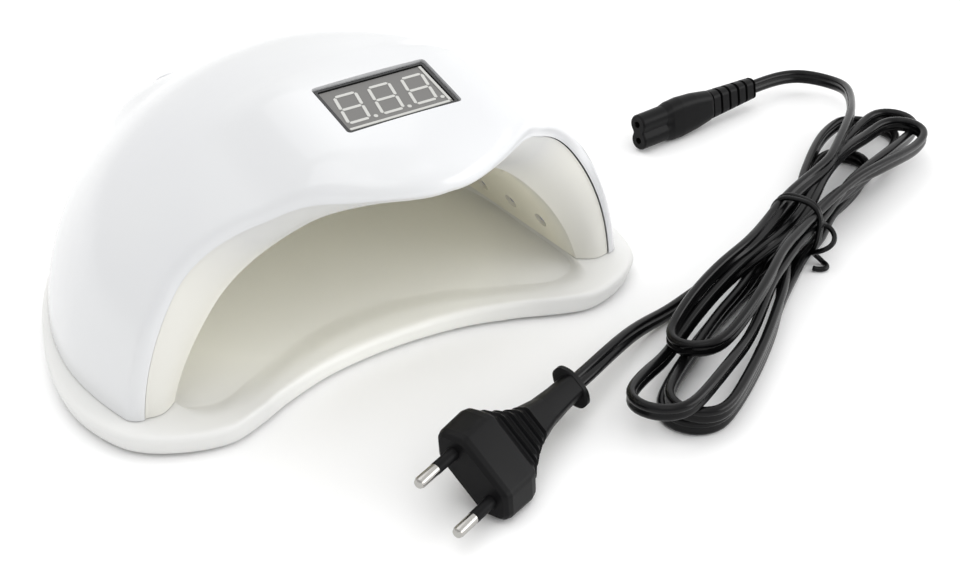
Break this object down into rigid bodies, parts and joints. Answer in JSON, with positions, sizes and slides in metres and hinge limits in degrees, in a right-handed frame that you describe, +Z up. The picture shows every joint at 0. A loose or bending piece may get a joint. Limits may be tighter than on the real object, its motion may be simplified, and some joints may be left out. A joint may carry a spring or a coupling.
{
  "type": "uv curing lamp",
  "caption": "Desk-top ultraviolet curing lamp: a white dome with an arched hand opening and a timer display, on a removable tray, with a separate tied mains lead.",
  "frame": {"origin": "on the table under the middle of the lamp, measured without the lead", "axes": "+X to the lamp's right seen from its open front, +Y from the hand opening towards the rear, +Z up"},
  "size_m": [0.3948, 0.2783, 0.1048],
  "materials": {
    "shell_white": "high-gloss white ABS",
    "liner_cream": "white ABS, satin, reads warm inside the hand space",
    "tray_white": "white ABS, semi-gloss",
    "black_plastic": "moulded black, fine grain",
    "flex_black": "soft PVC, slightly shiny",
    "foot_rubber": "matt",
    "display_grey": "smooth grey face with light unlit segments",
    "board_green": "solder-masked glass-fibre board",
    "emitter_lens": "clear domed emitters on a white flex board",
    "screw_steel": "zinc plated",
    "pin_nickel": "nickel plated brass",
    "inlet_brass": "plain",
    "heat_sink_aluminium": "plain",
    "transformer_yellow": "wound core under tape"
  },
  "bodies": {
    "tray": {"base_tray": "tray_white", "tray_steel_disc_right": "screw_steel", "tray_steel_disc_left": "screw_steel", "foot_front_right": "foot_rubber", "foot_front_left": "foot_rubber", "foot_rear_right": "foot_rubber", "foot_rear_left": "foot_rubber", "lead_connector": "black_plastic", "lead_relief": "black_plastic", "lead_cord_connector_side": "flex_black", "lead_hank": "flex_black", "lead_tie": "black_plastic", "lead_cord_plug_side": "flex_black", "plug_body": "black_plastic", "plug_relief": "black_plastic", "plug_sleeve_right": "black_plastic", "plug_sleeve_left": "black_plastic", "plug_pin_right": "pin_nickel", "plug_pin_left": "pin_nickel"},
    "housing": {"outer_shell": "shell_white", "inner_liner": "liner_cream", "housing_screw_1": "screw_steel", "housing_screw_2": "screw_steel", "housing_screw_3": "screw_steel", "housing_screw_4": "screw_steel", "housing_magnet_right": "pin_nickel", "housing_magnet_left": "pin_nickel", "display_bezel": "black_plastic", "display_module": "display_grey", "control_board": "board_green", "microcontroller": "black_plastic", "hand_sensor": "black_plastic", "switch_body_1": "black_plastic", "switch_body_2": "black_plastic", "switch_body_3": "black_plastic", "switch_body_4": "black_plastic", "button_board": "board_green", "led_board_front": "emitter_lens", "led_board_middle": "emitter_lens", "led_board_rear": "emitter_lens", "power_board": "board_green", "transformer": "transformer_yellow", "mains_capacitor": "black_plastic", "output_capacitor": "black_plastic", "heat_sink": "heat_sink_aluminium", "mains_fuse": "display_grey", "mains_inlet": "black_plastic", "inlet_pin_right": "inlet_brass", "inlet_pin_left": "inlet_brass"},
    "button_1": {"timer_button_1": "shell_white", "switch_plunger_1": "black_plastic"},
    "button_2": {"timer_button_2": "shell_white", "switch_plunger_2": "black_plastic"},
    "button_3": {"timer_button_3": "shell_white", "switch_plunger_3": "black_plastic"},
    "button_4": {"timer_button_4": "shell_white", "switch_plunger_4": "black_plastic"}
  },
  "joints": [
    {"name": "housing_lift", "type": "slide", "parent": "tray", "child": "housing", "axis": [0, 0, 1], "range_m": [0, 0.1]},
    {"name": "button_1_press", "type": "slide", "parent": "housing", "child": "button_1", "axis": [0, -0.6456, -0.7637], "range_m": [0, 0.0006], "stiffness_N_per_m": 800, "springref_m": -0.0004},
    {"name": "button_2_press", "type": "slide", "parent": "housing", "child": "button_2", "axis": [0, -0.6456, -0.7637], "range_m": [0, 0.0006], "stiffness_N_per_m": 800, "springref_m": -0.0004},
    {"name": "button_3_press", "type": "slide", "parent": "housing", "child": "button_3", "axis": [0, -0.6456, -0.7637], "range_m": [0, 0.0006], "stiffness_N_per_m": 800, "springref_m": -0.0004},
    {"name": "button_4_press", "type": "slide", "parent": "housing", "child": "button_4", "axis": [0, -0.6456, -0.7637], "range_m": [0, 0.0006], "stiffness_N_per_m": 800, "springref_m": -0.0004}
  ]
}
